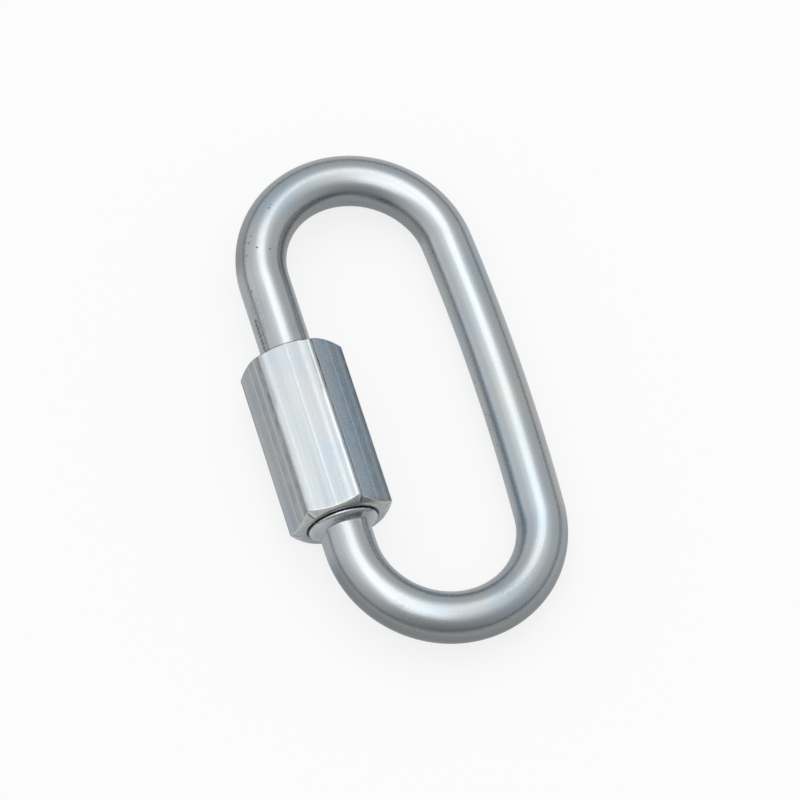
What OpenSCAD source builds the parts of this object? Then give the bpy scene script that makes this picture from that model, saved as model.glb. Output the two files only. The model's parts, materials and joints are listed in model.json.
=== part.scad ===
// Chain quick link: an oval of round wire with a threaded gate, closed by a long hexagonal sleeve nut.
// It lies on a surface as it comes to rest, on a corner of the nut and on the plain leg.
// +Y runs along the link, +Z is up, and the origin is under the middle of its box.

/* [Wire loop] */
// Diameter of the wire
wire_d = 4.8; // [3:0.1:8]
// Overall length of the link
link_length = 50.1; // [44:0.1:70]
// Distance between the axes of the two legs, at the middle of the link
leg_gap = 18.5; // [15:0.1:30]
// Bend radius of the wire's axis where a bow leaves the nut's leg
bow_r = 8.95; // [7:0.05:12]
// Bend radius of the plain leg, which is bowed out a little
leg_bend_r = 214; // [120:1:600]

// How much the wire thins in the bows, all round
bow_thinning = 0.03; // [0.02:0.01:0.1]

/* [Threaded ends] */
// How far a threaded end stands proud of the wire, all round
upset = 0.6; // [0.3:0.05:1.2]
// Length of the lower threaded end inside the closed nut
stub_length = 3; // [2:0.1:5]
// Width of the gate between the two threaded ends
gate = 5.8; // [4:0.1:7.5]
// How far the lower threaded end shows below the closed nut
collar_out = 0.4; // [0.2:0.05:0.8]
// Length of the cone from a threaded end down to the wire
shoulder_length = 0.45; // [0.3:0.05:0.9]
// Chamfer on the tip of a threaded end
tip_chamfer = 0.4; // [0.1:0.05:0.8]

/* [Sleeve nut] */
// Length of the nut
nut_length = 17; // [15:0.1:20]
// Straight wire and shoulder between the lower bow and the closed nut
nut_above_bow = 2.5; // [1.8:0.05:5]
// Wall of the nut at the middle of a flat
nut_wall = 1.25; // [0.8:0.05:2]
// Turn of the nut's upper flat from level, towards its own side
nut_turn = 10.5; // [0:0.1:15]
// Running clearance between a threaded end and the nut's bore, all round
thread_clearance = 0.05; // [0.02:0.01:0.1]
// How far each mouth of the bore is widened, all round
mouth_chamfer = 0.3; // [0.1:0.05:0.5]
// How far the domed end chamfers cut into the flats
end_chamfer = 0.3; // [0.1:0.05:0.6]
// Radius of the dome that the end chamfers follow
dome_r = 9; // [7:0.1:14]
// How much is taken off the sharp corners of the hexagon
corner_relief = 0.08; // [0.02:0.01:0.2]
// Depth inside the nut's upper mouth at which the upper thread ends
thread_cover = 1.25; // [0.8:0.05:2]

/* [Hidden] */
$fn = 96;

zinc_wire = [0.72, 0.74, 0.76];
zinc_nut = [0.76, 0.79, 0.82];

// Radii
wire_r = wire_d / 2;
bow_wire_r = wire_r - bow_thinning;
thread_r = wire_r + upset;
bore_r = thread_r + thread_clearance;
flat_r = bore_r + nut_wall;
point_r = flat_r / cos(30);
corner_r = point_r - corner_relief;
face_r = flat_r - end_chamfer;
mouth_r = bore_r + mouth_chamfer;

// Axis of the loop: each bow is a quarter turn of bow_r from the nut's leg up to its top, then an arc of
// outer_r that runs into the bowed plain leg. The bows' wire is seated a little way inside the legs' wire.
half_length = link_length / 2 - bow_wire_r;
outer_w = leg_gap - bow_r;
outer_r = round(100 * (2 * leg_bend_r * outer_w - outer_w * outer_w - half_length * half_length)
    / (2 * (leg_bend_r - half_length))) / 100;
leg_angle = atan2(half_length - outer_r, leg_bend_r - outer_w);
seat_angle = 0.3;
leg_facets = 1440;

// Places along the nut's leg, from the middle of the link
bow_y = half_length - bow_r;
nut_low = nut_above_bow - bow_y;
nut_high = nut_low + nut_length;
stub_low = nut_low - collar_out;
stub_tip = nut_low + stub_length;
upper_tip = stub_tip + gate;
upper_high = nut_high - thread_cover;

// Rest pose: the nut's lowest corner and the plain leg both touch the floor
relief_angle = 30 - acos(flat_r / corner_r);
nut_drop = corner_r * cos(30 - nut_turn - relief_angle);
lean = asin((nut_drop - wire_r) / leg_gap);
nut_reach = corner_r * cos(nut_turn - relief_angle);
shift_x = (nut_reach - wire_r) / 2;
shift_z = (nut_drop + wire_r) / 2;

// Lays the link, drawn upright in its own plane, down on the floor
module at_rest() {
    translate([shift_x, 0, shift_z])
        rotate([0, lean, 0])
            children();
}

// Stands a shape drawn along Z on the axis of the nut's leg, with its zero at height y
module on_nut_leg(y) {
    translate([-leg_gap / 2, y, 0])
        rotate([-90, 0, 0])
            children();
}

// One side of the upper bow, from its top round to a leg
module bow_side(radius, sweep) {
    translate([0, half_length - radius, 0])
        rotate([0, 0, 90])
            rotate_extrude(angle = sweep + seat_angle)
                translate([radius, 0])
                    circle(r = bow_wire_r);
}

module upper_bow() {
    translate([bow_r - leg_gap / 2, 0, 0]) {
        bow_side(bow_r, 90);
        mirror([1, 0, 0])
            bow_side(outer_r, 90 - leg_angle);
    }
}

// Leg without the nut: an arc of large radius, about a centre far to the nut's side
module plain_leg() {
    translate([leg_gap / 2 - leg_bend_r, 0, 0])
        rotate([0, 0, -leg_angle])
            rotate_extrude(angle = 2 * leg_angle, $fn = leg_facets)
                translate([leg_bend_r, 0])
                    circle(r = wire_r);
}

// Straight wire on the nut's leg, between two heights
module straight(low, high) {
    on_nut_leg(low)
        cylinder(r = wire_r, h = high - low);
}

// Threaded end of a given length: tip chamfer at the top, cone down to the wire at the bottom
module threaded_end(length) {
    rotate_extrude()
        polygon([
            [0, -shoulder_length],
            [wire_r, -shoulder_length],
            [thread_r, 0],
            [thread_r, length - tip_chamfer],
            [thread_r - tip_chamfer, length],
            [0, length]
        ]);
}

module link_body() {
    color(zinc_wire)
        at_rest() {
            upper_bow();
            mirror([0, 1, 0])
                upper_bow();
            plain_leg();
            straight(-bow_y, stub_low - shoulder_length);
            straight(upper_high + shoulder_length, bow_y);
            on_nut_leg(stub_low)
                threaded_end(stub_tip - stub_low);
            on_nut_leg(upper_high)
                mirror([0, 0, 1])
                    threaded_end(upper_high - upper_tip);
        }
}

// Bore of the nut with its widened mouths, run past both ends
module nut_bore() {
    past = 1;
    rotate_extrude()
        polygon([
            [0, -past],
            [mouth_r + past, -past],
            [bore_r, mouth_chamfer],
            [bore_r, nut_length - mouth_chamfer],
            [mouth_r + past, nut_length + past],
            [0, nut_length + past]
        ]);
}

// What the domed chamfer takes off the lower end of the hexagon
module end_cut() {
    rotate_extrude()
        difference() {
            square([2 * point_r, point_r]);
            translate([0, sqrt(dome_r * dome_r - face_r * face_r)])
                circle(r = dome_r);
        }
}

module sleeve_nut() {
    color(zinc_nut)
        at_rest()
            on_nut_leg(nut_low)
                rotate([0, 0, -lean - nut_turn])
                    difference() {
                        intersection() {
                            cylinder(r = point_r, h = nut_length, $fn = 6);
                            cylinder(r = corner_r, h = nut_length);
                        }
                        nut_bore();
                        end_cut();
                        translate([0, 0, nut_length])
                            mirror([0, 0, 1])
                                end_cut();
                    }
}

link_body();
sleeve_nut();
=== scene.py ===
import json
import math

import bmesh
import bpy
from mathutils import Matrix, Quaternion, Vector


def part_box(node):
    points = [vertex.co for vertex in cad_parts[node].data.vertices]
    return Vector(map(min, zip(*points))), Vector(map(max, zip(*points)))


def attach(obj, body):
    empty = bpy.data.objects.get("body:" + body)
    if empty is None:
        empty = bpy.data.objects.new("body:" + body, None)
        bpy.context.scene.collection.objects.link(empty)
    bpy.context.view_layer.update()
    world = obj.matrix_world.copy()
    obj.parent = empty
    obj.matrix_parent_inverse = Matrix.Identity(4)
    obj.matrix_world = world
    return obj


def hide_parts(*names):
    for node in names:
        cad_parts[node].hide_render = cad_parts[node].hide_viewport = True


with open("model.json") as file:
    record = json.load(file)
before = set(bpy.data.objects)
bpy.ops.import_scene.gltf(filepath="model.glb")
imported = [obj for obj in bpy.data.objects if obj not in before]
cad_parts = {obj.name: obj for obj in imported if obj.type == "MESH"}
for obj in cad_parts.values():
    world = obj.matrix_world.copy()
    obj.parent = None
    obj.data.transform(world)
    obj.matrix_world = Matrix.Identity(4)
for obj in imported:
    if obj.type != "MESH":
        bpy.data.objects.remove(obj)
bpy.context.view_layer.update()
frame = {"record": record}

# Chain quick link: an oval of zinc-plated wire with a threaded gate, closed by a long hexagonal sleeve nut.
# Both pieces are drawn flat in the link's own plane, with the middle of the loop at the origin, the nut's
# leg at minus X and +Y along the link, and are then laid down on the floor as the frame has them.
# Lengths are in metres.

MM = 0.001
FULL_TURN = 2 * math.pi
QUARTER_TURN = FULL_TURN / 4
scene = bpy.context.scene

# Share of a step that is put down to rounding when a line is cut into steps
ROUNDING = 1e-6

# Wire loop
WIRE_R = 2.4 * MM
BOW_THINNING = 0.03 * MM
BOW_R = 8.95 * MM
LEG_BEND_R = 214 * MM
WIRE_COLUMNS = 120
WIRE_STEP = 0.17 * MM
UNEVENNESS = 0.008 * MM
UNEVEN_SCALE = 260.0
LEG_MARGIN = 0.01 * MM

# Bending: the height over which it sets in, how much it dulls the plating where the wire is most stretched,
# and how much painted shade darkens the colour there, on the rims of the bows. Where the wire is squeezed,
# inside the bows, it does a share of that.
BEND_RUN = BOW_R / 4
BOW_PAINTED_SHADE = 0.53
BEND_DULLING = 0.06
SQUEEZED_SHARE = 0.6
SQUEEZE_EDGE = 0.3

# Threaded ends, and the thread that they share with the nut
THREAD_R = 3 * MM
THREAD_DEPTH = 0.5 * MM
THREAD_STEP = 0.0625 * MM
PITCH = 1 * MM
THREAD_START = 0.58
GROOVE_EDGE = 0.2
CREST_EDGE = 0.86
CREST_WEAR = 0.04 * MM
RUN_OUT = 0.5 * MM
STUB_LENGTH = 3 * MM
GATE = 5.8 * MM
TIP_CHAMFER = 0.4 * MM
THREAD_COVER = 1.25 * MM
SHOULDER_LENGTH = 0.45 * MM

# Collar below the nut, and the seam that the forging dies leave under it
COLLAR_R = 3.25 * MM
COLLAR_OUT = 0.16 * MM
COLLAR_RING = 0.26 * MM
COLLAR_FILLET = 0.68 * MM
SEAM_TURN = math.radians(27)
SEAM_WIDTH = 0.2 * MM
SEAM_HEIGHT = 0.08 * MM
SEAM_LENGTH = 0.8 * MM

# Marks on the wire: millimetres along its axis from the lower tip, and degrees from its upper side outwards
PITS = [
    (81.6, 34), (82.2, 16), (82.6, 14), (85.6, 34), (86.2, 36), (86.7, 16),
    (86.1, 44), (87.3, 42), (86.8, -14), (90.5, 50), (90, 56), (90.6, 56),
    (46.4, -94), (46.9, -82), (43.5, -80), (43.1, -68), (42, -86), (40.1, -74),
]
STAINS = [(93.3 + 0.4 * i, 66 + i % 2) for i in range(9)]
SCUFFS = [
    (94.2, 60), (92.2, 54), (95.1, -28), (14.3, 42), (13, 34), (15.5, 46),
    (23.8, -8), (22.6, -8), (42.5, -70),
]

# Looks of the marks: their size, how ragged they are, how much they cover and with what, and their relief
PIT = {"radius": 0.12 * MM, "ragged": 0.9, "share": 0.65, "colour": (0.05, 0.055, 0.06)}
STAIN = {"radius": 0.29 * MM, "ragged": 0.8, "share": 0.7, "colour": (0.07, 0.07, 0.06)}
SCUFF = {"radius": 1.3 * MM, "ragged": 0.8, "share": 0.25, "colour": (0.2, 0.21, 0.205)}
MARK_CORE = 0.35
MARK_WAVES = 1.6
PIT_DEPTH = 0.04 * MM
PIT_DULLING = 0.2
SCUFF_DULLING = 0.07
SCUFF_FINENESS = 3200.0
SCUFF_EDGE = (0.42, 0.62)

# Sleeve nut
ACROSS_FLATS = 8.6 * MM
FLATS = 6
FLAT_TURN = FULL_TURN / FLATS
CORNER_TURN = FLAT_TURN / 2
CORNER_ROUNDING = 0.45 * MM
EDGE_SOFTNESS = 0.08 * MM
BORE_R = 3.05 * MM
BORE_MARGIN = 0.001 * MM
MOUTH_CHAMFER = 0.42 * MM
END_CHAMFER = 0.3 * MM
DOME_R = 9 * MM
DOME_STEPS = 18
TURNED_EDGE = 0.05 * MM
EDGE_POINTS = 4
NUT_SIDE_STEP = 1 * MM
NUT_THREAD_STEP = 0.125 * MM
NUT_COLUMNS = 360
COLUMN_PULL = 0.3
WELD_GAP = 0.0005 * MM

# Painted light on the nut: how wide the painted highlights and shade along its rims and corners are, the
# painted dark lines beside the corners of every other flat, and how much painted shade dims those flats from
# one side to the other
RIM_LIGHT_WIDTH = 0.22 * MM
BRIGHT_CORNER = 0.62
BRIGHT_CORE = 0.3
DARK_LINE = 0.15 * MM
DARK_CORE = 0.55
FLAT_DIMMING = 0.5
DIMMING_START = -0.7

# Draw marks along the flats, as place, width and the brightness of the painted highlight along each, and how
# they differ from flat to flat
DRAW_MARKS = [(0.17 * MM, 0.13 * MM, 0.8), (1.5 * MM, 0.42 * MM, 0.5), (-1.9 * MM, 0.32 * MM, 0.35)]
DRAW_MARK_HEIGHT = 0.006 * MM
DRAW_MARK_SHIFT = 0.7 * MM
DRAW_MARK_TURN = 1.43
DIM_FLAT_MARKS = 1.4

# Plating on the two pieces
WIRE_ZINC = {
    "grey": (0.39, 0.405, 0.415), "line_fineness": 2600.0, "line_contrast": 0.05,
    "line_depth": 0.0025 * MM, "roughness": 0.25,
}
NUT_ZINC = {
    "grey": (0.385, 0.4, 0.41), "line_fineness": 1500.0, "line_contrast": 0.08,
    "line_depth": 0.0018 * MM, "roughness": 0.26,
}
# Painted bluish light on the nut's inner side, brighter there too, with where it sets in; and the warmer
# lower end, with where it fades
NUT_PAINTED_BLUE_LIGHT = (1.2, 1.33, 1.46)
NUT_BLUE_LIGHT_EDGE = (1.6 * MM, 2.4 * MM)
NUT_WARM_END = (1.13, 1.08, 0.99)
NUT_WARM_EDGE = (0.25 * MM, 0.6 * MM)

# Plating in general: its clouds, drawn lines, grain, and the edge value that brightens worn crests and
# paints highlights and shade along edges. Each pair is the range of noise over which an effect sets in.
CLOUD_SCALE = 150.0
BLUE_CLOUDS = (0.86, 0.97, 1.05)
BLUE_EDGE = (0.42, 0.66)
BLUE_MOST = 0.85
STRAW_CLOUDS = (1.03, 1.01, 0.93)
STRAW_EDGE = (0.5, 0.72)
STRAW_MOST = 0.7
STRAW_OFFSET = (0.31, 0.17, 0.23)
LINE_STRETCH = 45.0
LINE_SHADE_EDGE = (0.3, 0.7)
LINE_DULL_EDGE = (0.25, 0.75)
LINE_DULLING = 0.05
LINE_POLISH = 0.04
GRAIN_FINENESS = 5200.0
GRAIN_DULLING = 0.16
GRAIN_DEPTH = 0.0035 * MM
PATCH_SCALE = 900.0
PATCH_EDGE = (0.3, 0.62)
PATCH_LEAST = 0.35
EDGE_POLISH = 0.06
# Edge colour: brighter for worn crests and painted highlights, and darker for painted shade
BRIGHT_WEAR_AND_SHEEN = 1.3
PAINTED_SHADE_DARK = 0.12

# Camera: its distance from the middle of the link, and its turns from looking straight down on the loop
CAMERA_DISTANCE = 453.5 * MM
CAMERA_ROLL = math.radians(18.554)
CAMERA_TILT = math.radians(22.5)
CAMERA_LEAN = math.radians(16.4385)
CAMERA_LENS = 221.85
CAMERA_SENSOR = 36.0
CAMERA_SHIFT = (-0.0035, -0.0072)
CAMERA_CLIP = 0.01

# Lamp, over the link and a little behind it
SOFTBOX_PLACE = (0.005, 0.035, 0.58)
SOFTBOX_WIDTH = 0.34
SOFTBOX_LENGTH = 0.8
SOFTBOX_TURN = math.radians(-8)
SOFTBOX_POWER = 0.9
SOFTBOX_TINT = (1.0, 0.99, 0.975)

# Light all round: its level overhead, how that rises and bends across (X) and along (Y) the link and towards
# the corners between them, and the glow round the softbox
SKY_LEVEL = 0.871
SKY_ACROSS = (-0.115, 0.112)
SKY_ALONG = (0.233, -0.261)
SKY_CORNERS = -0.183
SKY_TINT = (0.98, 0.995, 1.01)
SOFTBOX_GLOW = 0.65
GLOW_EDGE = 0.6

# Floor, and the dark card that stands round it
FLOOR_HALF = 2.0
FLOOR_GREY = 0.7
FLOOR_WHITE_SHARE = 0.8
FLOOR_WHITE_IN_METAL = 0.3
CARD_R = 0.6
CARD_HEIGHT = 0.075
CARD_FACETS = 64
CARD_COLOUR = (0.03, 0.03, 0.035)
CARD_ROUGHNESS = 0.9

# Places that the frame gives
link_low, link_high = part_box("link_body")
nut_low, nut_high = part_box("sleeve_nut")
nut_axis = (nut_low + nut_high) / 2
plain_leg = Vector((link_high.x - WIRE_R, 0, link_low.z + WIRE_R))
across = plain_leg - Vector((nut_axis.x, 0, nut_axis.z))
leg_gap = across.length
lean = math.atan2(-across.z, across.x)
rest_place = Matrix.Translation(plain_leg - across / 2) @ Matrix.Rotation(lean, 4, "Y")
flat_normal = next(m for m in frame["record"]["mounts"] if m["name"] == "spanner_flat")["axis"]
flat_angle = math.atan2(flat_normal[0], flat_normal[2]) - lean

# Axis of the loop and the threaded ends on it
half_length = link_high.y - WIRE_R + BOW_THINNING
outer_w = leg_gap - BOW_R
outer_r = (2 * LEG_BEND_R * outer_w - outer_w ** 2 - half_length ** 2) / (2 * (LEG_BEND_R - half_length))
leg_angle = math.atan2(half_length - outer_r, LEG_BEND_R - outer_w)
nut_leg_x = -leg_gap / 2
bow_y = half_length - BOW_R
stub_low = nut_low.y - COLLAR_OUT
stub_tip = nut_low.y + STUB_LENGTH
upper_tip = stub_tip + GATE
upper_high = nut_high.y - THREAD_COVER
lower_foot = stub_low - COLLAR_FILLET
upper_foot = upper_high + SHOULDER_LENGTH

# Radii of the nut
flat_r = ACROSS_FLATS / 2
point_r = flat_r / math.cos(CORNER_TURN)
face_r = flat_r - END_CHAMFER
mouth_r = BORE_R + MOUTH_CHAMFER
dome_middle = math.sqrt(DOME_R ** 2 - face_r ** 2)
dome_top = dome_middle - math.sqrt(DOME_R ** 2 - point_r ** 2)


# Building nodes

def make(tree, kind, inputs=None, **settings):
    """Adds a node, sets its properties, and fills the inputs that are named or numbered."""
    node = tree.nodes.new(kind)
    for key, value in settings.items():
        setattr(node, key, value)
    for key, value in (inputs or {}).items():
        if isinstance(value, bpy.types.NodeSocket):
            tree.links.new(value, node.inputs[key])
        else:
            node.inputs[key].default_value = value
    return node


def maths(tree, operation, *values):
    """One step of arithmetic."""
    return make(tree, "ShaderNodeMath", dict(enumerate(values)), operation=operation).outputs[0]


def vectors(tree, operation, *values):
    """One step of arithmetic on vectors."""
    return make(tree, "ShaderNodeVectorMath", dict(enumerate(values)), operation=operation).outputs[0]


def measure(tree, operation, *values):
    """A number worked out from two vectors, such as the distance between them."""
    node = make(tree, "ShaderNodeVectorMath", dict(enumerate(values)), operation=operation)
    return node.outputs["Value"]


def scaled(tree, vector, length):
    """A vector or colour times a number."""
    inputs = {0: vector, "Scale": length}
    return make(tree, "ShaderNodeVectorMath", inputs, operation="SCALE").outputs[0]


def split(tree, vector):
    """The X, Y and Z of a vector."""
    return make(tree, "ShaderNodeSeparateXYZ", {0: vector}).outputs


def join(tree, x, y, z):
    """A vector from its X, Y and Z."""
    return make(tree, "ShaderNodeCombineXYZ", {0: x, 1: y, 2: z}).outputs[0]


def slide(tree, value, start, end, at_start=0.0, at_end=1.0, way="LINEAR"):
    """Goes from one value to another as the input goes from start to end, and stays there."""
    inputs = {"Value": value, "From Min": start, "From Max": end, "To Min": at_start, "To Max": at_end}
    return make(tree, "ShaderNodeMapRange", inputs, interpolation_type=way).outputs[0]


def choose(tree, mask, off, on):
    """The first value where the mask is 0, and the second where it is 1."""
    return maths(tree, "MULTIPLY_ADD", mask, maths(tree, "SUBTRACT", on, off), off)


def halfway(tree, low, high):
    """The middle between two values."""
    return maths(tree, "MULTIPLY", maths(tree, "ADD", low, high), 0.5)


def noise(tree, vector, scale, detail=2.0, roughness=0.5):
    """Soft random values from 0 to 1."""
    inputs = {"Vector": vector, "Scale": scale, "Detail": detail, "Roughness": roughness}
    return make(tree, "ShaderNodeTexNoise", inputs).outputs[0]


def remember(tree, shape, name, value, kind="FLOAT"):
    """Keeps a value on the points of a shape, under a name."""
    inputs = {"Geometry": shape, "Name": name, "Value": value}
    return make(tree, "GeometryNodeStoreNamedAttribute", inputs, data_type=kind, domain="POINT").outputs[0]


def recall(tree, name, kind="FLOAT"):
    """A value that was kept under a name."""
    return make(tree, "GeometryNodeInputNamedAttribute", {"Name": name}, data_type=kind).outputs[0]


def shape_tree(name, sizes):
    """A tree for a Geometry Nodes modifier, with a named input for each size."""
    tree = bpy.data.node_groups.new(name, "GeometryNodeTree")
    tree.interface.new_socket("Geometry", in_out="INPUT", socket_type="NodeSocketGeometry")
    for size in sizes:
        tree.interface.new_socket(size, in_out="INPUT", socket_type="NodeSocketFloat")
    tree.interface.new_socket("Material", in_out="INPUT", socket_type="NodeSocketMaterial")
    tree.interface.new_socket("Geometry", in_out="OUTPUT", socket_type="NodeSocketGeometry")
    return tree, make(tree, "NodeGroupInput").outputs


def finish_tree(tree, shape, material):
    """Ends a shape's tree: smooth faces, real geometry, and its material."""
    smooth = make(tree, "GeometryNodeSetShadeSmooth", {0: shape})
    real = make(tree, "GeometryNodeRealizeInstances", {0: smooth.outputs[0]})
    coated = make(tree, "GeometryNodeSetMaterial", {"Geometry": real.outputs[0], "Material": material})
    make(tree, "NodeGroupOutput", {0: coated.outputs[0]})
    return tree


def grow(name, points, closed, tree, sizes, material):
    """Runs a tree on a line of points, and returns the result as a plain mesh laid down on the floor."""
    line = bpy.data.meshes.new(name + "_line")
    edges = [(i, i + 1) for i in range(len(points) - 1)]
    if closed:
        edges.append((len(points) - 1, 0))
    line.from_pydata([(x, y, 0) for x, y in points], edges, [])
    source = bpy.data.objects.new(name + "_line", line)
    scene.collection.objects.link(source)
    modifier = source.modifiers.new("shape", "NODES")
    modifier.node_group = tree
    values = {**sizes, "Material": material}
    for socket in tree.interface.items_tree:
        if socket.in_out == "INPUT" and socket.name in values:
            modifier[socket.identifier] = values[socket.name]
    graph = bpy.context.evaluated_depsgraph_get()
    mesh = bpy.data.meshes.new_from_object(source.evaluated_get(graph), depsgraph=graph)
    bpy.data.objects.remove(source)
    bpy.data.meshes.remove(line)
    shell = bmesh.new()
    shell.from_mesh(mesh)
    bmesh.ops.recalc_face_normals(shell, faces=shell.faces)
    shell.to_mesh(mesh)
    shell.free()
    mesh.transform(rest_place)
    mesh.name = name
    piece = bpy.data.objects.new(name, mesh)
    scene.collection.objects.link(piece)
    return piece


# Lines that the pieces follow

def arc(middle, radius, start, end, step):
    """Points along an arc, without the last one."""
    count = math.ceil(abs(end - start) * radius / step)
    angles = [start + (end - start) * i / count for i in range(count)]
    return [(middle[0] + radius * math.cos(a), middle[1] + radius * math.sin(a)) for a in angles]


def run(start, end, step):
    """Points along a straight line, without the last one."""
    start, end = Vector(start), Vector(end)
    count = math.ceil((end - start).length / step - ROUNDING)
    return [tuple(start.lerp(end, i / count)) for i in range(count)]


def leg_run(heights, step):
    """Points down or up the nut's leg, through each of the heights, without the last one."""
    stops = [(nut_leg_x, y) for y in heights]
    return [point for a, b in zip(stops, stops[1:]) for point in run(a, b, step)]


def soften(corners, radius):
    """The corners of a closed outline, each rounded off into the points of a short curve."""
    curves = []
    for before, corner, after in zip(corners[-1:] + corners[:-1], corners, corners[1:] + corners[:1]):
        before, corner, after = Vector(before), Vector(corner), Vector(after)
        back, on = before - corner, after - corner
        start = corner + back.normalized() * min(radius, back.length / 3)
        end = corner + on.normalized() * min(radius, on.length / 3)
        shares = [i / (EDGE_POINTS - 1) for i in range(EDGE_POINTS)]
        curves.append([tuple(start.lerp(corner, t).lerp(corner.lerp(end, t), t)) for t in shares])
    return curves


def loop_axis():
    """Axis of the wire, from the lower threaded tip, round the loop, to the upper threaded tip."""
    bow_x = nut_leg_x + BOW_R
    outer_y = half_length - outer_r
    leg_middle = (leg_gap / 2 - LEG_BEND_R, 0)
    points = leg_run([stub_tip, stub_tip - TIP_CHAMFER, stub_low, lower_foot], THREAD_STEP)
    points += leg_run([lower_foot, -bow_y], WIRE_STEP)
    points += arc((bow_x, -bow_y), BOW_R, 2 * QUARTER_TURN, 3 * QUARTER_TURN, WIRE_STEP)
    points += arc((bow_x, -outer_y), outer_r, -QUARTER_TURN, -leg_angle, WIRE_STEP)
    points += arc(leg_middle, LEG_BEND_R, -leg_angle, leg_angle, WIRE_STEP)
    points += arc((bow_x, outer_y), outer_r, leg_angle, QUARTER_TURN, WIRE_STEP)
    points += arc((bow_x, bow_y), BOW_R, QUARTER_TURN, 2 * QUARTER_TURN, WIRE_STEP)
    points += leg_run([bow_y, upper_foot], WIRE_STEP)
    points += leg_run([upper_foot, upper_high, upper_tip + TIP_CHAMFER, upper_tip], THREAD_STEP)
    return points + [(nut_leg_x, upper_tip)]


def turned_blank():
    """Half outline of the nut before its flats are cut, as distance from its axis and height."""
    low, high = nut_low.y, nut_high.y
    dome_start = math.atan2(-dome_middle, face_r)
    dome_end = math.atan2(dome_top - dome_middle, point_r)
    lower_dome = arc((0, low + dome_middle), DOME_R, dome_start, dome_end, dome_top / DOME_STEPS)
    upper_dome = [(r, low + high - y) for r, y in reversed(lower_dome)]
    side_low, side_high = (point_r, low + dome_top), (point_r, high - dome_top)
    side = run(side_low, side_high, NUT_SIDE_STEP) + [side_high]
    bore_top, bore_bottom, low_mouth, low_face, high_face, high_mouth = soften([
        (BORE_R, high - MOUTH_CHAMFER), (BORE_R, low + MOUTH_CHAMFER),
        (mouth_r, low), (face_r, low), (face_r, high), (mouth_r, high),
    ], TURNED_EDGE)
    bore = run(bore_top[-1], bore_bottom[0], NUT_THREAD_STEP)

    # The curves round the end faces stop halfway, where the domes go on
    lower_half = low_mouth + low_face[:EDGE_POINTS // 2] + lower_dome
    upper_half = upper_dome + high_face[EDGE_POINTS // 2:] + high_mouth
    return lower_half + side + upper_half + bore_top[:-1] + bore + bore_bottom


# Shapes

def thread_depth(tree, size, turn, y, share):
    """Depth of the right-hand groove in the ends, and so the height of the nut's ridge that runs in it."""
    turns_up = maths(tree, "DIVIDE", y, size["Pitch"])
    lead = maths(tree, "SUBTRACT", turns_up, maths(tree, "DIVIDE", turn, FULL_TURN))
    place = maths(tree, "FRACT", maths(tree, "ADD", lead, THREAD_START))
    flank = maths(tree, "ABSOLUTE", maths(tree, "MULTIPLY_ADD", place, 2.0, -1.0))
    depth = slide(tree, flank, GROOVE_EDGE, CREST_EDGE, 1.0, 0.0)
    return maths(tree, "MULTIPLY", maths(tree, "MULTIPLY", depth, share), size["Thread Depth"])


def swept_wire(tree, size):
    """Round wire along the loop's axis, with each point's length along it, turn round it and axis point."""
    place = make(tree, "GeometryNodeInputPosition").outputs[0]
    axis = make(tree, "GeometryNodeMeshToCurve", {0: size["Geometry"]}).outputs[0]
    axis = make(tree, "GeometryNodeSetCurveNormal", {0: axis}, mode="Z_UP").outputs[0]
    axis = remember(tree, axis, "along", make(tree, "GeometryNodeSplineParameter").outputs["Length"])
    axis = remember(tree, axis, "axis_point", place, "FLOAT_VECTOR")
    inputs = {"Resolution": WIRE_COLUMNS, "Radius": size["Wire Radius"]}
    ring = make(tree, "GeometryNodeCurvePrimitiveCircle", inputs).outputs[0]
    ring = remember(tree, ring, "around", make(tree, "GeometryNodeSplineParameter").outputs["Factor"])
    inputs = {"Curve": axis, "Profile Curve": ring, "Fill Caps": True}
    return make(tree, "GeometryNodeCurveToMesh", inputs).outputs[0]


def straightened(tree, size):
    """Place of a point on the wire as if it were straight, with the third direction along it."""
    turn = maths(tree, "MULTIPLY", recall(tree, "around"), FULL_TURN)
    return join(
        tree,
        maths(tree, "MULTIPLY", maths(tree, "COSINE", turn), size["Wire Radius"]),
        maths(tree, "MULTIPLY", maths(tree, "SINE", turn), size["Wire Radius"]),
        recall(tree, "along"),
    )


def plain_wire(tree, size, straight, in_bow):
    """Radius of the plain wire, a little thinner in the bows and never quite even."""
    waviness = maths(tree, "SUBTRACT", noise(tree, straight, UNEVEN_SCALE), 0.5)
    waviness = maths(tree, "MULTIPLY", waviness, size["Unevenness"])
    thinning = maths(tree, "MULTIPLY", in_bow, size["Bow Thinning"])
    return maths(tree, "ADD", maths(tree, "SUBTRACT", size["Wire Radius"], thinning), waviness)


def bow_strain_and_shade(tree, in_bow, outward, middle):
    """How much bending strained the surface, most on the outside of the bows and less on their inside, which
    also sets the painted shade on the rims of the bows.
    """
    _, _, out_z = split(tree, outward)
    off_neutral = maths(tree, "SUBTRACT", 1.0, maths(tree, "MULTIPLY", out_z, out_z))
    strain_and_shade = maths(tree, "MULTIPLY", in_bow, maths(tree, "MULTIPLY", off_neutral, off_neutral))
    outer_side = measure(tree, "DOT_PRODUCT", outward, vectors(tree, "NORMALIZE", middle))
    stretched = slide(tree, outer_side, -SQUEEZE_EDGE, SQUEEZE_EDGE, SQUEEZED_SHARE, 1.0)
    return maths(tree, "MULTIPLY", strain_and_shade, stretched)


def end_share(tree, size, y, on_upper):
    """How much the leg is thickened into an end: 0 on plain wire, and 1 from a shoulder to its tip."""
    return choose(
        tree, on_upper,
        slide(tree, y, size["Lower Foot"], size["Lower Shoulder"], way="SMOOTHSTEP"),
        slide(tree, y, size["Upper Shoulder"], size["Upper Foot"], 1.0, 0.0, "SMOOTHSTEP"),
    )


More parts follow.
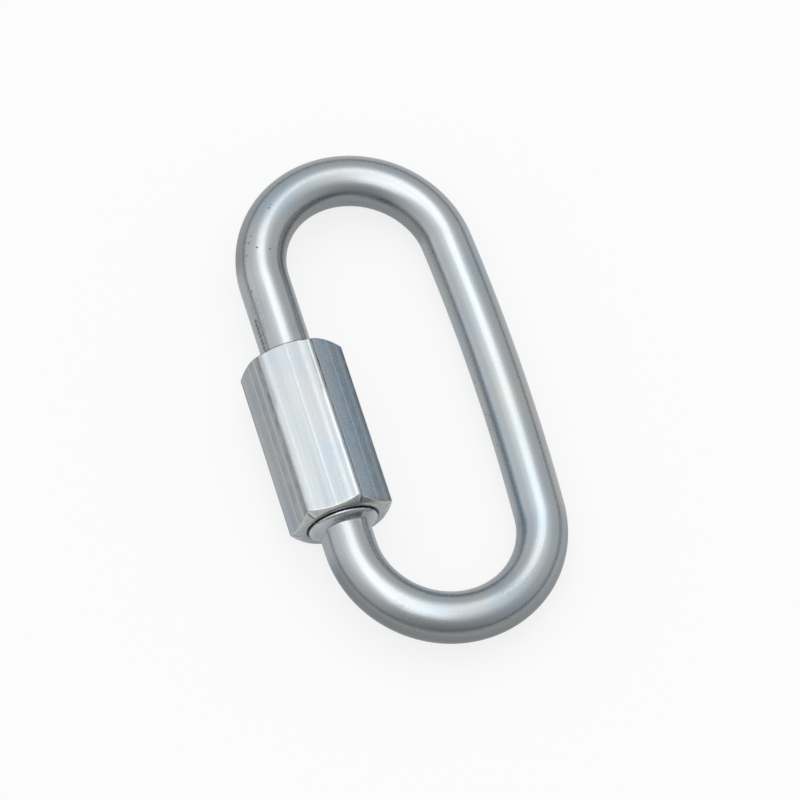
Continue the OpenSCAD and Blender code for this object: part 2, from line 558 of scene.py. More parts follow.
def end_groove(tree, size, turn, y, on_upper):
    """Depth of the thread on the two ends, which runs out at the plain ring beside each shoulder."""
    lower_full = maths(tree, "ADD", size["Lower Ring"], size["Run Out"])
    upper_full = maths(tree, "SUBTRACT", size["Upper Ring"], size["Run Out"])
    cut = choose(
        tree, on_upper,
        slide(tree, y, size["Lower Ring"], lower_full),
        slide(tree, y, upper_full, size["Upper Ring"], 1.0, 0.0),
    )
    return thread_depth(tree, size, turn, y, cut)


def end_surface(tree, size, groove, y, on_upper):
    """Radius of the two ends, with their thread, their tip chamfers and the collar on the lower one."""
    lower_chamfer = maths(tree, "SUBTRACT", size["Lower Tip"], size["Tip Chamfer"])
    upper_chamfer = maths(tree, "ADD", size["Upper Tip"], size["Tip Chamfer"])
    tip = choose(
        tree, on_upper,
        slide(tree, y, lower_chamfer, size["Lower Tip"]),
        slide(tree, y, size["Upper Tip"], upper_chamfer, 1.0, 0.0),
    )
    drop = maths(tree, "MAXIMUM", groove, maths(tree, "MULTIPLY", tip, size["Tip Chamfer"]))
    radius = maths(tree, "SUBTRACT", size["Thread Radius"], drop)
    rim_top = halfway(tree, size["Lower Shoulder"], size["Lower Ring"])
    in_collar = slide(tree, y, rim_top, size["Lower Ring"], 1.0, 0.0, "SMOOTHSTEP")
    in_collar = maths(tree, "MULTIPLY", in_collar, maths(tree, "SUBTRACT", 1.0, on_upper))
    return choose(tree, in_collar, radius, size["Collar Radius"])


def forging_seam(tree, size, turn, y):
    """Seam under the collar, on two opposite sides: 1 along its ridge, and 0 beside it."""
    from_seam = maths(tree, "ABSOLUTE", maths(tree, "SINE", maths(tree, "SUBTRACT", turn, SEAM_TURN)))
    from_seam = maths(tree, "MULTIPLY", from_seam, size["Wire Radius"])
    seam = slide(tree, from_seam, 0.0, size["Seam Width"], 1.0, 0.0, "SMOOTHSTEP")
    seam_foot = maths(tree, "SUBTRACT", size["Lower Foot"], size["Seam Length"])
    seam = maths(tree, "MULTIPLY", seam, slide(tree, y, seam_foot, size["Lower Foot"]))
    seam_end = slide(tree, y, size["Lower Shoulder"], size["Lower Ring"], 1.0, 0.0)
    return maths(tree, "MULTIPLY", seam, seam_end)


def wire_loop_tree(sizes):
    """Sweeps round wire along the axis of the loop, and cuts a thread on the thickened part at each end."""
    tree, size = shape_tree("wire_loop", sizes)
    tube = swept_wire(tree, size)
    straight = straightened(tree, size)
    place = make(tree, "GeometryNodeInputPosition").outputs[0]
    middle = recall(tree, "axis_point", "FLOAT_VECTOR")
    outward = vectors(tree, "NORMALIZE", vectors(tree, "SUBTRACT", place, middle))
    x, y, _ = split(tree, middle)
    out_x, _, out_z = split(tree, outward)
    turn = maths(tree, "ARCTAN2", out_x, out_z)

    # Plain wire and its bows
    bend_end = maths(tree, "ADD", size["Bow Height"], BEND_RUN)
    in_bow = slide(tree, maths(tree, "ABSOLUTE", y), size["Bow Height"], bend_end, way="SMOOTHSTEP")
    wire_radius = plain_wire(tree, size, straight, in_bow)
    strain_and_shade = bow_strain_and_shade(tree, in_bow, outward, middle)

    # Threaded ends on the nut's leg, and the seam under the collar
    on_leg = maths(tree, "LESS_THAN", x, maths(tree, "ADD", size["Leg Place"], LEG_MARGIN))
    on_upper = maths(tree, "GREATER_THAN", y, halfway(tree, size["Lower Tip"], size["Upper Tip"]))
    thick = maths(tree, "MULTIPLY", on_leg, end_share(tree, size, y, on_upper))
    groove = end_groove(tree, size, turn, y, on_upper)
    end_radius = end_surface(tree, size, groove, y, on_upper)
    # Worn thread crests, and the plain collar and shoulder drawn brighter as a painted highlight
    crest_and_collar_sheen = maths(tree, "MULTIPLY", thick, slide(tree, groove, 0.0, CREST_WEAR, 1.0, 0.0))
    seam = maths(tree, "MULTIPLY", on_leg, forging_seam(tree, size, turn, y))

    radius = choose(tree, thick, wire_radius, end_radius)
    radius = maths(tree, "MULTIPLY_ADD", seam, size["Seam Height"], radius)
    moved = vectors(tree, "ADD", middle, scaled(tree, outward, radius))
    tube = remember(tree, tube, "straight_wire", straight, "FLOAT_VECTOR")
    # The bend mask sets both the dulling of the bows and the painted shade on their rims
    tube = remember(tree, tube, "bend_dulling_and_shade", strain_and_shade)
    # Edge value: brighter on the crests and on the seam's ridge, and a painted highlight on the collar
    tube = remember(tree, tube, "edge", maths(tree, "MAXIMUM", crest_and_collar_sheen, seam))
    tube = make(tree, "GeometryNodeSetPosition", {"Geometry": tube, "Position": moved}).outputs[0]
    return finish_tree(tree, tube, size["Material"])


def spun_blank(tree, size, rows):
    """A grid for the nut's surface, with each point's share of a turn, radius on the blank and height."""
    grid = make(tree, "GeometryNodeMeshGrid", {"Vertices X": NUT_COLUMNS + 1, "Vertices Y": rows + 1})
    share, row, _ = split(tree, grid.outputs["UV Map"])
    row = maths(tree, "ROUND", maths(tree, "MULTIPLY", row, float(rows)))
    index = maths(tree, "FLOORED_MODULO", row, float(rows))
    outline = make(tree, "GeometryNodeInputPosition").outputs[0]
    inputs = {"Geometry": size["Geometry"], "Value": outline, "Index": index}
    point = make(tree, "GeometryNodeSampleIndex", inputs, data_type="FLOAT_VECTOR", domain="POINT")
    blank_r, y, _ = split(tree, point.outputs[0])
    return grid.outputs["Mesh"], share, blank_r, y


def turn_on_flat(tree, share):
    """Number of the flat and turn from its middle, with the columns drawn together towards the corners."""
    sixths = maths(tree, "MULTIPLY", share, float(FLATS))
    across_flat = maths(tree, "MULTIPLY_ADD", maths(tree, "FRACT", sixths), 2.0, -1.0)
    cubed = maths(tree, "POWER", maths(tree, "ABSOLUTE", across_flat), 3.0)
    cubed = maths(tree, "MULTIPLY", cubed, maths(tree, "SIGN", across_flat))
    pull = maths(tree, "MULTIPLY", cubed, -COLUMN_PULL)
    drawn = maths(tree, "MULTIPLY_ADD", across_flat, 1 + COLUMN_PULL, pull)
    return maths(tree, "FLOOR", sixths), maths(tree, "MULTIPLY", drawn, CORNER_TURN)


def rounded_hexagon(tree, size, off_flat, flat, place_on_flat):
    """Radius of the hexagon: that of the flat, or of the corner's rounding where that has begun."""
    inner_flat = maths(tree, "SUBTRACT", size["Flat Radius"], size["Corner Rounding"])
    corner_middle = maths(tree, "DIVIDE", inner_flat, math.cos(CORNER_TURN))
    to_corner = maths(tree, "SUBTRACT", CORNER_TURN, maths(tree, "ABSOLUTE", off_flat))
    aside = maths(tree, "MULTIPLY", corner_middle, maths(tree, "SINE", to_corner))
    rounding_squared = maths(tree, "POWER", size["Corner Rounding"], 2.0)
    reach = maths(tree, "SUBTRACT", rounding_squared, maths(tree, "POWER", aside, 2.0))
    reach = maths(tree, "SQRT", maths(tree, "MAXIMUM", reach, 0.0))
    corner = maths(tree, "MULTIPLY_ADD", corner_middle, maths(tree, "COSINE", to_corner), reach)
    plain_half = maths(tree, "MULTIPLY", inner_flat, math.tan(CORNER_TURN))
    in_corner = maths(tree, "GREATER_THAN", maths(tree, "ABSOLUTE", place_on_flat), plain_half)
    return choose(tree, in_corner, flat, corner)


def draw_marks(tree, place_on_flat, flat_number):
    """Raised lines that the drawing die left along a flat: how raised they are, and how bright their painted
    highlight is.
    """
    spread = maths(tree, "MULTIPLY", flat_number, maths(tree, "SUBTRACT", flat_number, 1.0))
    shift = maths(tree, "SINE", maths(tree, "MULTIPLY", spread, DRAW_MARK_TURN))
    shift = maths(tree, "MULTIPLY", shift, DRAW_MARK_SHIFT)
    raised, glint = 0.0, 0.0
    for mark_place, width, brightness in DRAW_MARKS:
        beside = maths(tree, "SUBTRACT", maths(tree, "SUBTRACT", place_on_flat, mark_place), shift)
        top = slide(tree, maths(tree, "ABSOLUTE", beside), 0.0, width, 1.0, 0.0, "SMOOTHSTEP")
        raised = maths(tree, "ADD", top, raised)
        glint = maths(tree, "MULTIPLY_ADD", top, brightness, glint)
    return raised, glint


def painted_corner_light(tree, size, place_on_flat, on_flat, odd_flat):
    """Painted highlight on the corners, and on odd flats the painted dark lines beside them and the painted
    shade on the dim side.
    """
    half_flat = maths(tree, "MULTIPLY", size["Flat Radius"], math.tan(CORNER_TURN))
    from_corner = maths(tree, "SUBTRACT", half_flat, maths(tree, "ABSOLUTE", place_on_flat))
    corner_width = maths(tree, "MULTIPLY", size["Corner Rounding"], BRIGHT_CORNER)
    corner_core = maths(tree, "MULTIPLY", corner_width, BRIGHT_CORE)
    bright = slide(tree, from_corner, corner_core, corner_width, 1.0, 0.0)
    off_line = maths(tree, "ABSOLUTE", maths(tree, "SUBTRACT", from_corner, corner_width))
    line_core = maths(tree, "MULTIPLY", size["Dark Line"], DARK_CORE)
    dark_line = slide(tree, off_line, line_core, size["Dark Line"], 1.0, 0.0)
    side_share = maths(tree, "DIVIDE", place_on_flat, half_flat)
    dimming = slide(tree, side_share, DIMMING_START, 1.0, 0.0, FLAT_DIMMING)
    dark = maths(tree, "MAXIMUM", dark_line, maths(tree, "MULTIPLY", dimming, on_flat))
    return bright, maths(tree, "MULTIPLY", dark, odd_flat)


def painted_rim_light(tree, size, blank_r, hexagon, y):
    """Painted light along the rims and corners: a painted highlight below the middle of the link, and
    painted shade above it.
    """
    off_edge = maths(tree, "ABSOLUTE", maths(tree, "SUBTRACT", blank_r, hexagon))
    painted_light = slide(tree, off_edge, 0.0, size["Rim Light Width"], 1.0, 0.0)
    dark = maths(tree, "MULTIPLY", painted_light, maths(tree, "GREATER_THAN", y, 0.0))
    return maths(tree, "SUBTRACT", painted_light, dark), dark


def bore_ridge(tree, size, turn, y):
    """Height of the thread in the bore, which fades out towards both mouths."""
    lower_full = maths(tree, "ADD", size["Lower Thread End"], size["Run Out"])
    upper_full = maths(tree, "SUBTRACT", size["Upper Thread End"], size["Run Out"])
    fade = maths(
        tree, "MULTIPLY",
        slide(tree, y, size["Lower Thread End"], lower_full),
        slide(tree, y, upper_full, size["Upper Thread End"], 1.0, 0.0),
    )
    return thread_depth(tree, size, turn, y, fade)


def sleeve_nut_tree(sizes, rows):
    """Turns the blank round its axis, cuts six flats on it, and cuts the thread in its bore."""
    tree, size = shape_tree("sleeve_nut", sizes)
    shell, share, blank_r, y = spun_blank(tree, size, rows)
    flat_number, off_flat = turn_on_flat(tree, share)
    turn = maths(tree, "MULTIPLY_ADD", flat_number, FLAT_TURN, off_flat)
    turn = maths(tree, "ADD", turn, size["Flat Angle"])

    # Outside: the blank with its flats cut and its edges softened, and the raised lines along the flats
    flat = maths(tree, "DIVIDE", size["Flat Radius"], maths(tree, "COSINE", off_flat))
    place_on_flat = maths(tree, "MULTIPLY", size["Flat Radius"], maths(tree, "TANGENT", off_flat))
    on_flat = maths(tree, "GREATER_THAN", blank_r, flat)
    hexagon = rounded_hexagon(tree, size, off_flat, flat, place_on_flat)
    outside = maths(tree, "SMOOTH_MIN", blank_r, hexagon, size["Edge Softness"])
    raised, glint = draw_marks(tree, place_on_flat, flat_number)
    raised = maths(tree, "MULTIPLY", raised, on_flat)
    outside = maths(tree, "MULTIPLY_ADD", raised, size["Mark Height"], outside)

    # Painted light on the outside: above 0 for painted highlights, and below 0 for painted shade
    odd_flat = maths(tree, "FLOORED_MODULO", flat_number, 2.0)
    bright_corner, dark_flat = painted_corner_light(tree, size, place_on_flat, on_flat, odd_flat)
    bright_rim, dark_rim = painted_rim_light(tree, size, blank_r, hexagon, y)
    bright = maths(tree, "MAXIMUM", bright_corner, bright_rim)
    painted_light = maths(tree, "SUBTRACT", bright, maths(tree, "MAXIMUM", dark_flat, dark_rim))
    contrast = maths(tree, "MULTIPLY", on_flat, slide(tree, odd_flat, 0.0, 1.0, 1.0, DIM_FLAT_MARKS))
    # Painted highlight along the draw marks, stronger on the dimmed flats
    painted_light = maths(tree, "MULTIPLY_ADD", glint, contrast, painted_light)
    painted_light = maths(tree, "MULTIPLY", painted_light, maths(tree, "GREATER_THAN", blank_r, size["Face Radius"]))

    # Inside: the bore with its thread
    inside = maths(tree, "SUBTRACT", blank_r, bore_ridge(tree, size, turn, y))
    in_bore = maths(tree, "LESS_THAN", blank_r, maths(tree, "ADD", size["Bore Radius"], BORE_MARGIN))
    radius = choose(tree, in_bore, outside, inside)

    moved = join(
        tree,
        maths(tree, "MULTIPLY_ADD", radius, maths(tree, "SINE", turn), size["Leg Place"]),
        y,
        maths(tree, "MULTIPLY", radius, maths(tree, "COSINE", turn)),
    )
    # The edge value carries the nut's painted highlights and painted shade to its plating
    shell = remember(tree, shell, "edge", painted_light)
    shell = make(tree, "GeometryNodeSetPosition", {"Geometry": shell, "Position": moved}).outputs[0]
    shell = make(tree, "GeometryNodeMergeByDistance", {"Geometry": shell, "Distance": WELD_GAP}).outputs[0]
    return finish_tree(tree, shell, size["Material"])


# Finishes

def effect(name, inputs, output):
    """A shader node group with its named inputs and its one number or colour as output."""
    tree = bpy.data.node_groups.new(name, "ShaderNodeTree")
    for label, kind in inputs:
        tree.interface.new_socket(label, in_out="INPUT", socket_type=kind)
    tree.interface.new_socket(output[0], in_out="OUTPUT", socket_type=output[1])
    return tree, make(tree, "NodeGroupInput").outputs


def use(tree, group, values):
    """Places an effect in a material with its values, and returns its output."""
    return make(tree, "ShaderNodeGroup", values, node_tree=group).outputs[0]


def blend(tree, share, first, second):
    """A colour between two colours."""
    node = make(tree, "ShaderNodeMix", {"Factor": share}, data_type="RGBA")
    for socket, value in zip([s for s in node.inputs if s.type == "RGBA"], (first, second)):
        if isinstance(value, bpy.types.NodeSocket):
            tree.links.new(value, socket)
        else:
            socket.default_value = (*value, 1.0)
    return next(s for s in node.outputs if s.type == "RGBA")


def plating_tint():
    """Zinc plating's colour: pale grey with faint clouds of blue and straw."""
    tree, given = effect("plating_tint", [
        ("Place", "NodeSocketVector"), ("Cloud Scale", "NodeSocketFloat"), ("Grey", "NodeSocketColor"),
        ("Blue", "NodeSocketColor"), ("Straw", "NodeSocketColor"),
    ], ("Color", "NodeSocketColor"))
    blue_clouds = noise(tree, given["Place"], given["Cloud Scale"], detail=3.0)
    blue_share = slide(tree, blue_clouds, *BLUE_EDGE, 0.0, BLUE_MOST)
    straw_place = vectors(tree, "ADD", given["Place"], STRAW_OFFSET)
    straw_clouds = noise(tree, straw_place, given["Cloud Scale"], detail=3.0)
    straw_share = slide(tree, straw_clouds, *STRAW_EDGE, 0.0, STRAW_MOST)
    colour = blend(tree, straw_share, blend(tree, blue_share, given["Grey"], given["Blue"]), given["Straw"])
    make(tree, "NodeGroupOutput", {"Color": colour})
    return tree


def drawn_lines():
    """Fine lines along the third direction of the place, left by drawing the steel through a die."""
    tree, given = effect("drawn_lines", [
        ("Place", "NodeSocketVector"), ("Fineness", "NodeSocketFloat"), ("Length Ratio", "NodeSocketFloat"),
    ], ("Height", "NodeSocketFloat"))
    x, y, z = split(tree, given["Place"])
    pulled = join(tree, x, y, maths(tree, "DIVIDE", z, given["Length Ratio"]))
    lines = noise(tree, pulled, given["Fineness"], detail=3.0, roughness=0.6)
    make(tree, "NodeGroupOutput", {"Height": lines})
    return tree


def plating_grain():
    """The dull, slightly frosted skin of the plating."""
    tree, given = effect("plating_grain", [
        ("Place", "NodeSocketVector"), ("Fineness", "NodeSocketFloat"),
    ], ("Height", "NodeSocketFloat"))
    grain = noise(tree, given["Place"], given["Fineness"], detail=4.0, roughness=0.7)
    make(tree, "NodeGroupOutput", {"Height": grain})
    return tree


def wear_and_painted_light():
    """Edges drawn brighter or darker than the rest of the plating, for worn crests, painted highlights and
    painted shade, unevenly along their length.
    """
    tree, given = effect("wear_and_painted_light", [
        ("Place", "NodeSocketVector"), ("Edge", "NodeSocketFloat"),
    ], ("Wear And Light", "NodeSocketFloat"))
    patches = slide(tree, noise(tree, given["Place"], PATCH_SCALE, detail=3.0), *PATCH_EDGE, PATCH_LEAST, 1.0)
    make(tree, "NodeGroupOutput", {"Wear And Light": maths(tree, "MULTIPLY", given["Edge"], patches)})
    return tree


def marks_at(name, points, radius, ragged):
    """Round marks with ragged outlines at given points."""
    tree, given = effect(name, [("Place", "NodeSocketVector")], ("Marks", "NodeSocketFloat"))
    wobble = noise(tree, given["Place"], MARK_WAVES / radius, detail=4.0, roughness=0.65)
    wobble = maths(tree, "MULTIPLY_ADD", wobble, ragged, -ragged / 2)
    marks = None
    for point in points:
        gap = measure(tree, "DISTANCE", given["Place"], point)
        share = maths(tree, "ADD", maths(tree, "DIVIDE", gap, radius), wobble)
        mark = slide(tree, share, MARK_CORE, 1.0, 1.0, 0.0, "SMOOTHSTEP")
        marks = mark if marks is None else maths(tree, "MAXIMUM", marks, mark)
    make(tree, "NodeGroupOutput", {"Marks": marks})
    return tree


def on_wire(axis, along, tilt):
    """A point on the wire's surface, at a length along its axis and a turn from its upper side outwards."""
    left = along
    for start, end in zip(axis, axis[1:]):
        step = end - start
        if left <= step.length:
            break
        left -= step.length
    outward = Vector((step.y, -step.x, 0)).normalized()
    middle = start + step.normalized() * left
    lift = outward * math.sin(tilt) + Vector((0, 0, math.cos(tilt)))
    return rest_place @ (Vector((middle.x, middle.y, 0)) + WIRE_R * lift)


def wire_marks(tree, name, spots, look):
    """Where one kind of mark lies on the wire, from 0 to 1."""
    axis = [Vector(point) for point in loop_axis()]
    points = [on_wire(axis, along * MM, math.radians(tilt)) for along, tilt in spots]
    place = make(tree, "ShaderNodeTexCoord").outputs["Object"]
    return use(tree, marks_at(name, points, look["radius"], look["ragged"]), {"Place": place})


def marked(tree, colour, marks, look):
    """A colour with one kind of mark on it."""
    return blend(tree, maths(tree, "MULTIPLY", marks, look["share"]), colour, look["colour"])


def new_material(name):
    """A material with nodes, and its tree."""
    material = bpy.data.materials.new(name)
    material.use_nodes = True
    return material, material.node_tree


def place_on_wire(tree):
    """Place on the straightened wire, whose third direction runs along it."""
    return make(tree, "ShaderNodeAttribute", attribute_name="straight_wire").outputs["Vector"]


def place_on_nut(tree):
    """Place on the nut, turned so that the third direction runs along it."""
    x, y, z = split(tree, make(tree, "ShaderNodeTexCoord").outputs["Object"])
    return join(tree, x, z, y)


def tinted(grey, tint):
    """A grey times a tint, as a colour with its alpha."""
    return (*(part * share for part, share in zip(grey, tint)), 1.0)


def zinc(tree, place, grey, line_fineness, line_contrast, line_depth, roughness):
    """Zinc plating with its clouds, drawn lines, grain and edge value of worn crests, painted highlights and
    painted shade: its colour, dullness and normal.
    """
    tint = use(tree, effects["tint"], {
        "Place": place, "Cloud Scale": CLOUD_SCALE, "Grey": (*grey, 1.0),
        "Blue": tinted(grey, BLUE_CLOUDS), "Straw": tinted(grey, STRAW_CLOUDS),
    })
    lines = use(tree, effects["lines"], {
        "Place": place, "Fineness": line_fineness, "Length Ratio": LINE_STRETCH,
    })
    grain = use(tree, effects["grain"], {"Place": place, "Fineness": GRAIN_FINENESS})
    edge = make(tree, "ShaderNodeAttribute", attribute_name="edge").outputs["Fac"]
    edge_wear_and_light = use(tree, effects["edge_wear_and_light"], {"Place": place, "Edge": edge})
    shade = slide(tree, lines, *LINE_SHADE_EDGE, 1.0 - line_contrast, 1.0 + line_contrast)
    bright_share = maths(tree, "MAXIMUM", edge_wear_and_light, 0.0)
    dark_share = maths(tree, "MAXIMUM", maths(tree, "MULTIPLY", edge_wear_and_light, -1.0), 0.0)
    # Brighter for worn crests and painted highlights, and darker for painted shade
    bright = tuple(BRIGHT_WEAR_AND_SHEEN * part for part in grey)
    dark = tuple(PAINTED_SHADE_DARK * part for part in grey)
    colour = blend(tree, bright_share, scaled(tree, tint, shade), bright)
    colour = blend(tree, dark_share, colour, dark)
    dullness = slide(tree, lines, *LINE_DULL_EDGE, roughness + LINE_DULLING, roughness - LINE_POLISH)
    dullness = maths(tree, "MULTIPLY_ADD", maths(tree, "SUBTRACT", grain, 0.5), GRAIN_DULLING, dullness)
    dullness = maths(tree, "MULTIPLY_ADD", edge_wear_and_light, -EDGE_POLISH, dullness)
    line_bump = make(tree, "ShaderNodeBump", {"Strength": 1.0, "Distance": line_depth, "Height": lines})
    grain_bump = make(tree, "ShaderNodeBump", {
        "Strength": 1.0, "Distance": GRAIN_DEPTH, "Height": grain, "Normal": line_bump.outputs[0],
    })
    return colour, dullness, grain_bump.outputs[0]


def coat(tree, colour, dullness, normal):
    """Gives a metal its colour, roughness and normal."""
    shader = tree.nodes["Principled BSDF"]
    shader.inputs["Metallic"].default_value = 1.0
    tree.links.new(colour, shader.inputs["Base Color"])
    tree.links.new(dullness, shader.inputs["Roughness"])
    tree.links.new(normal, shader.inputs["Normal"])


def zinc_on_nut():
    """Plating on drawn hexagon bar, with painted bluish light on the inner side, and warmer at the lower
    end.
    """
    material, tree = new_material("zinc_nut")
    place = place_on_nut(tree)
    colour, dullness, normal = zinc(tree, place, **NUT_ZINC)
    x, _, y = split(tree, place)
    # Painted light: bluer and brighter towards the nut's inner side
    painted_blue_light = slide(tree, x, *(nut_axis.x + edge for edge in NUT_BLUE_LIGHT_EDGE))
    lower_end = slide(tree, y, *(nut_low.y + edge for edge in NUT_WARM_EDGE), 1.0, 0.0)
    tint = blend(tree, painted_blue_light, (1.0, 1.0, 1.0), NUT_PAINTED_BLUE_LIGHT)
    tint = blend(tree, lower_end, tint, NUT_WARM_END)
    coat(tree, vectors(tree, "MULTIPLY", colour, tint), dullness, normal)
    return material


def zinc_on_wire():
    """Satin plating on the wire of the loop, with painted shade on the rims of its bows, and a few pits,
    stains and scuffs.
    """
    material, tree = new_material("zinc_wire")
    place = place_on_wire(tree)
    colour, dullness, normal = zinc(tree, place, **WIRE_ZINC)
    pits = wire_marks(tree, "plating_pits", PITS, PIT)
    stains = wire_marks(tree, "stains", STAINS, STAIN)
    scuffs = wire_marks(tree, "scuffs", SCUFFS, SCUFF)
    rough = noise(tree, place, SCUFF_FINENESS, detail=4.0, roughness=0.7)
    scuffs = maths(tree, "MULTIPLY", scuffs, slide(tree, rough, *SCUFF_EDGE))
    bend_dulling_and_shade = make(tree, "ShaderNodeAttribute", attribute_name="bend_dulling_and_shade").outputs["Fac"]
    # Painted shade: the colour darkens on the rims of the bows, following the bend mask
    colour = scaled(tree, colour, slide(tree, bend_dulling_and_shade, 0.0, 1.0, 1.0, BOW_PAINTED_SHADE))
    colour = marked(tree, colour, scuffs, SCUFF)
    colour = marked(tree, colour, pits, PIT)
    colour = marked(tree, colour, stains, STAIN)
    dullness = maths(tree, "MULTIPLY_ADD", bend_dulling_and_shade, BEND_DULLING, dullness)
    dullness = maths(tree, "MULTIPLY_ADD", scuffs, SCUFF_DULLING, dullness)
    dullness = maths(tree, "MULTIPLY_ADD", pits, PIT_DULLING, dullness)
    hollows = make(tree, "ShaderNodeBump", {
        "Strength": 1.0, "Distance": PIT_DEPTH, "Height": pits, "Normal": normal,
    }, invert=True)
    coat(tree, colour, dullness, hollows.outputs[0])
    return material


# Studio

def floor_material():
    """White paper that shows white behind the link and in its metal, and still takes its shadow."""
    material, tree = new_material("pale_floor")
    tree.nodes.remove(tree.nodes["Principled BSDF"])
    paper = make(tree, "ShaderNodeBsdfDiffuse", {"Color": (FLOOR_GREY, FLOOR_GREY, FLOOR_GREY, 1.0)})
    white = make(tree, "ShaderNodeEmission", {"Color": (1.0, 1.0, 1.0, 1.0), "Strength": 1.0})
    rays = make(tree, "ShaderNodeLightPath").outputs
    in_metal = maths(tree, "MAXIMUM", rays["Is Glossy Ray"], rays["Is Transmission Ray"])
    in_metal = maths(tree, "MULTIPLY", in_metal, FLOOR_WHITE_IN_METAL)
    in_view = maths(tree, "MULTIPLY", rays["Is Camera Ray"], FLOOR_WHITE_SHARE)
    share = maths(tree, "MAXIMUM", in_view, in_metal)
    surface = make(tree, "ShaderNodeMixShader", {0: share, 1: paper.outputs[0], 2: white.outputs[0]})
    tree.links.new(surface.outputs[0], tree.nodes["Material Output"].inputs["Surface"])
    return material


def stage_piece(name, corners, faces, material):
    """A plain mesh of the studio."""
    mesh = bpy.data.meshes.new(name)
    mesh.from_pydata(corners, [], faces)
    mesh.materials.append(material)
    piece = bpy.data.objects.new(name, mesh)
    scene.collection.objects.link(piece)
    return piece


def pale_floor():
    """A wide plain floor under the link."""
    half = FLOOR_HALF
    corners = [(-half, -half, 0), (half, -half, 0), (half, half, 0), (-half, half, 0)]
    return stage_piece("pale_floor", corners, [(0, 1, 2, 3)], floor_material())


def dark_card():
    """A low dark strip far round the link, out of the camera's sight, that draws the metal's edges."""
    corners = []
    for i in range(CARD_FACETS):
        turn = FULL_TURN * i / CARD_FACETS
        x, y = CARD_R * math.cos(turn), CARD_R * math.sin(turn)
        corners += [(x, y, 0), (x, y, CARD_HEIGHT)]
    count = len(corners)
    faces = [(i, i + 1, (i + 3) % count, (i + 2) % count) for i in range(0, count, 2)]
    material, tree = new_material("dark_card")
    shader = tree.nodes["Principled BSDF"]
    shader.inputs["Base Color"].default_value = (*CARD_COLOUR, 1.0)
    shader.inputs["Roughness"].default_value = CARD_ROUGHNESS
    card = stage_piece("dark_card", corners, faces, material)
    card.visible_camera = False
    return card


def bent_rise(tree, value, slope, bend):
    """Slope times a value, plus bend times its square."""
    return maths(tree, "MULTIPLY", value, maths(tree, "MULTIPLY_ADD", value, bend, slope))


def studio_world():
    """Soft light all round, dimmest in front and palest on the nut's side, with a glow round the softbox."""
    world = bpy.data.worlds.new("studio")
    world.use_nodes = True
    tree = world.node_tree
    tree.nodes.clear()
    direction = make(tree, "ShaderNodeTexCoord").outputs["Generated"]
    x, y, _ = split(tree, direction)
    level = maths(tree, "ADD", bent_rise(tree, x, *SKY_ACROSS), bent_rise(tree, y, *SKY_ALONG))
    corners = maths(tree, "MULTIPLY", maths(tree, "MULTIPLY", x, y), SKY_CORNERS)
    level = maths(tree, "ADD", level, maths(tree, "ADD", corners, SKY_LEVEL))
    facing = measure(tree, "DOT_PRODUCT", direction, Vector(SOFTBOX_PLACE).normalized())
    glow = slide(tree, facing, GLOW_EDGE, 1.0, 0.0, SOFTBOX_GLOW, "SMOOTHSTEP")
    level = maths(tree, "ADD", level, glow)
    sky = make(tree, "ShaderNodeBackground", {"Color": (*SKY_TINT, 1.0), "Strength": level})
    make(tree, "ShaderNodeOutputWorld", {"Surface": sky.outputs[0]})
    scene.world = world


def softbox(name, place, turn, width, length, power):
    """A long area lamp that faces the middle of the link."""
    lamp = bpy.data.lights.new(name, "AREA")
    lamp.shape = "RECTANGLE"
    lamp.size = width
    lamp.size_y = length
    lamp.energy = power
    lamp.color = SOFTBOX_TINT
    box = bpy.data.objects.new(name, lamp)
    box.location = place
    facing = (-Vector(place)).to_track_quat("-Z", "Y")
    box.rotation_euler = (facing @ Quaternion((0, 0, 1), turn)).to_euler()
    scene.collection.objects.link(box)


def photograph_camera():
    """Camera at the photograph's viewing angle."""
    view = (
        Matrix.Rotation(CAMERA_ROLL, 4, "Z") @ Matrix.Rotation(-CAMERA_TILT, 4, "X")
        @ Matrix.Rotation(CAMERA_LEAN, 4, "Y")
    )
    data = bpy.data.cameras.new("camera")
    data.lens = CAMERA_LENS
    data.sensor_width = CAMERA_SENSOR
    data.shift_x, data.shift_y = CAMERA_SHIFT
    data.clip_start = CAMERA_CLIP
    camera = bpy.data.objects.new("camera", data)
    camera.matrix_world = rest_place @ view.transposed() @ Matrix.Translation((0, 0, CAMERA_DISTANCE))
    scene.collection.objects.link(camera)
    scene.camera = camera


# The link

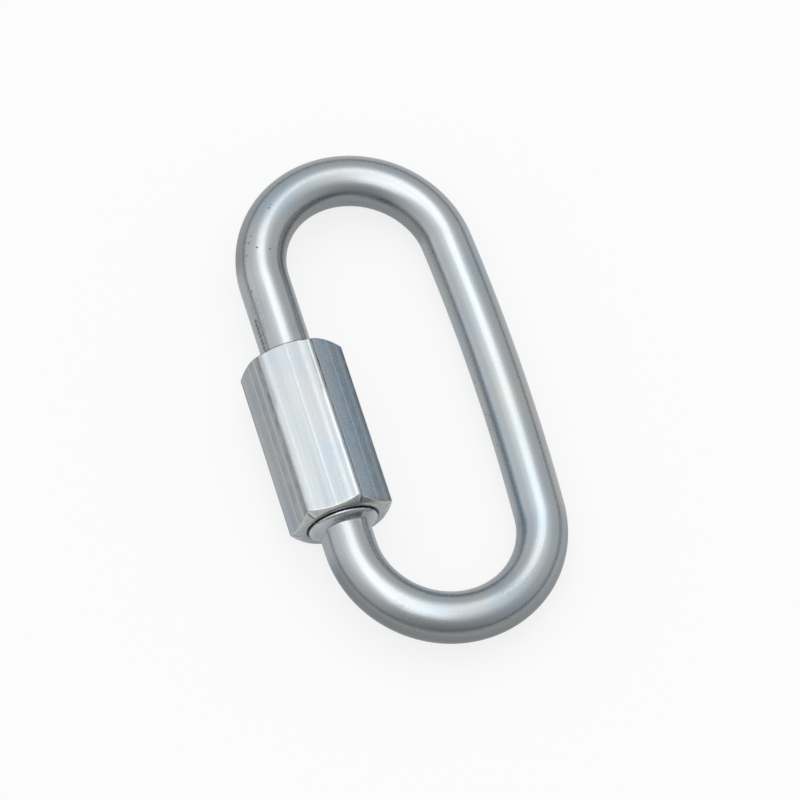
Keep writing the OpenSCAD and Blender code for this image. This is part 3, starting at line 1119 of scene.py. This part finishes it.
effects = {
    "tint": plating_tint(), "lines": drawn_lines(), "grain": plating_grain(), "edge_wear_and_light": wear_and_painted_light(),
}

wire_sizes = {
    "Wire Radius": WIRE_R, "Bow Thinning": BOW_THINNING, "Bow Height": bow_y, "Unevenness": UNEVENNESS,
    "Leg Place": nut_leg_x, "Thread Radius": THREAD_R, "Thread Depth": THREAD_DEPTH, "Pitch": PITCH,
    "Run Out": RUN_OUT, "Tip Chamfer": TIP_CHAMFER, "Collar Radius": COLLAR_R,
    "Lower Foot": lower_foot, "Lower Shoulder": stub_low, "Lower Ring": stub_low + COLLAR_RING,
    "Lower Tip": stub_tip, "Upper Tip": upper_tip, "Upper Ring": upper_high - COLLAR_RING,
    "Upper Shoulder": upper_high, "Upper Foot": upper_foot,
    "Seam Width": SEAM_WIDTH, "Seam Length": SEAM_LENGTH, "Seam Height": SEAM_HEIGHT,
}
link_body = grow("wire_loop", loop_axis(), False, wire_loop_tree(wire_sizes), wire_sizes, zinc_on_wire())
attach(link_body, "link")
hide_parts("link_body")

nut_sizes = {
    "Flat Radius": flat_r, "Flat Angle": flat_angle, "Face Radius": face_r, "Bore Radius": BORE_R,
    "Corner Rounding": CORNER_ROUNDING, "Edge Softness": EDGE_SOFTNESS, "Leg Place": nut_leg_x,
    "Thread Depth": THREAD_DEPTH, "Pitch": PITCH, "Run Out": RUN_OUT,
    "Lower Thread End": nut_low.y + MOUTH_CHAMFER, "Upper Thread End": nut_high.y - MOUTH_CHAMFER,
    "Mark Height": DRAW_MARK_HEIGHT, "Rim Light Width": RIM_LIGHT_WIDTH, "Dark Line": DARK_LINE,
}
blank = turned_blank()
nut_tree = sleeve_nut_tree(nut_sizes, len(blank))
hexagon_nut = grow("hexagon_nut", blank, True, nut_tree, nut_sizes, zinc_on_nut())
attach(hexagon_nut, "nut")
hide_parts("sleeve_nut")

pale_floor()
dark_card()
studio_world()
photograph_camera()
softbox("overhead_softbox", SOFTBOX_PLACE, SOFTBOX_TURN, SOFTBOX_WIDTH, SOFTBOX_LENGTH, SOFTBOX_POWER)
scene.view_settings.view_transform = "Standard"
